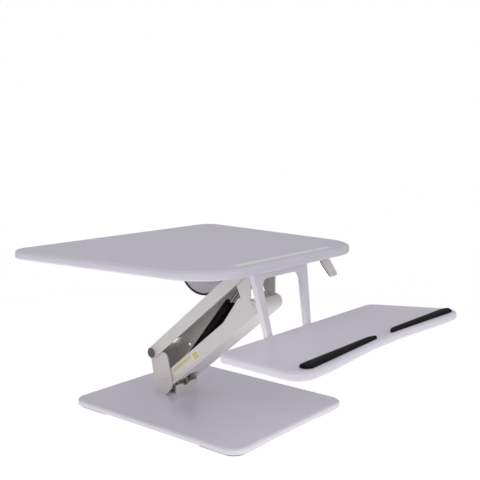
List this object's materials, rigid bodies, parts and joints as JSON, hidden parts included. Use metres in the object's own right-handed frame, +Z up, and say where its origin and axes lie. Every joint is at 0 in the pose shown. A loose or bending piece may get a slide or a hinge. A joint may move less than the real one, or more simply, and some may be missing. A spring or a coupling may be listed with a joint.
{
  "type": "standing desk converter",
  "caption": "Desk-top riser: tapered worktop with a tablet slot and a keyboard tray, carried on a gas-assisted parallelogram arm above a flat base plate.",
  "frame": {"origin": "on the desk surface, under the middle of the base plate", "axes": "+X to the user's right, +Y away from the user, +Z up; the user sits or stands at -Y"},
  "size_m": [0.7202, 0.8357, 0.41],
  "materials": {
    "board": "satin painted board",
    "tray_board": "satin painted board",
    "base_board": "semi-gloss painted board",
    "white_plastic": "moulded, satin",
    "painted_steel": "warm white powder coat",
    "bracket_white": "white powder coat, satin",
    "guard_grey": "grey powder coat",
    "zinc_steel": "zinc plated",
    "polished_rod": "ground and chromed",
    "gas_black": "black, semi-gloss",
    "bush_nylon": "moulded, matt",
    "cap_grey": "moulded, matt",
    "lever_white": "moulded, satin",
    "grip_dark": "matt",
    "foot_rubber": "matt",
    "rest_foam": "black covered foam",
    "cable_black": "sheath"
  },
  "bodies": {
    "base": {"base_plate": "base_board", "base_feet": "foot_rubber", "base_bracket": "painted_steel", "base_bracket_bolts": "zinc_steel", "bracket_spacer_tube": "painted_steel", "rear_upper_shaft": "zinc_steel", "rear_lower_pins": "zinc_steel"},
    "lower_arm": {"lower_link": "painted_steel", "lower_link_bushes": "bush_nylon", "lock_rack": "painted_steel", "lock_rack_screws": "zinc_steel"},
    "upper_arm": {"upper_link": "painted_steel", "upper_link_bushes": "bush_nylon", "pivot_end_caps": "cap_grey"},
    "head": {"head_bracket": "painted_steel", "head_bracket_screws": "zinc_steel", "front_upper_shaft": "zinc_steel", "front_lower_shaft": "zinc_steel", "shaft_retaining_rings": "zinc_steel", "worktop": "board", "tablet_slot_liner": "white_plastic", "keyboard_bracket": "bracket_white", "keyboard_bracket_screws": "zinc_steel", "keyboard_tray": "tray_board", "tray_screws": "zinc_steel", "left_wrist_rest": "rest_foam", "right_wrist_rest": "rest_foam", "guard_plate": "guard_grey", "guard_edge_trim": "foot_rubber", "guard_plate_screws": "zinc_steel", "lever_bracket": "painted_steel", "lever_bracket_screws": "zinc_steel", "lever_pin": "zinc_steel", "lever_return_spring": "zinc_steel", "release_cable": "cable_black", "cable_clips": "bush_nylon", "cable_anchor": "zinc_steel"},
    "gas_rod": {"gas_spring_rod": "polished_rod", "gas_spring_piston": "zinc_steel", "gas_rod_end": "zinc_steel", "gas_rod_bush": "bush_nylon", "valve_arm_pin": "zinc_steel"},
    "gas_cylinder": {"gas_spring_cylinder": "gas_black", "gas_spring_end_guide": "gas_black", "gas_spring_foot": "zinc_steel", "gas_spring_foot_pin": "zinc_steel"},
    "lever": {"release_lever": "lever_white", "lever_grip_pad": "grip_dark"},
    "valve_arm": {"valve_release_arm": "zinc_steel"}
  },
  "joints": [
    {"name": "lift", "type": "hinge", "parent": "base", "child": "lower_arm", "pos_m": [0, 0.11, 0.05], "axis": [-1, 0, 0], "range_deg": [-38.2, 21.8]},
    {"name": "upper_arm_swing", "type": "hinge", "parent": "base", "child": "upper_arm", "pos_m": [0, 0.146, 0.124], "axis": [-1, 0, 0], "range_deg": [-39.2, 22.8]},
    {"name": "head_level", "type": "hinge", "parent": "lower_arm", "child": "head", "pos_m": [0, -0.17413, 0.29011], "axis": [-1, 0, 0], "range_deg": [-22.8, 39.2]},
    {"name": "gas_rod_swing", "type": "hinge", "parent": "head", "child": "gas_rod", "pos_m": [0, -0.13813, 0.36411], "axis": [-1, 0, 0], "range_deg": [-37.67, 21.93]},
    {"name": "gas_stroke", "type": "slide", "parent": "gas_rod", "child": "gas_cylinder", "axis": [0, 0.6199, -0.7847], "range_m": [-0.0553, 0.0324]},
    {"name": "lever_squeeze", "type": "hinge", "parent": "head", "child": "lever", "pos_m": [0.2, -0.199, 0.379], "axis": [-1, 0, 0], "range_deg": [0, 18], "stiffness_Nm_per_rad": 0.6, "springref_deg": -17.19},
    {"name": "valve_arm_swing", "type": "hinge", "parent": "gas_rod", "child": "valve_arm", "pos_m": [0, -0.11927, 0.34588], "axis": [1, 0, 0], "range_deg": [-0.5, 9.5]}
  ],
  "couplings": [
    {"joint": "upper_arm_swing", "follows": "lift", "ratio": 1},
    {"joint": "head_level", "follows": "lift", "ratio": -1},
    {"joint": "gas_rod_swing", "follows": "lift", "ratio": 0.96},
    {"joint": "gas_stroke", "follows": "lift", "m_per_rad": 0.08},
    {"joint": "valve_arm_swing", "follows": "lever_squeeze", "ratio": 0.5}
  ]
}
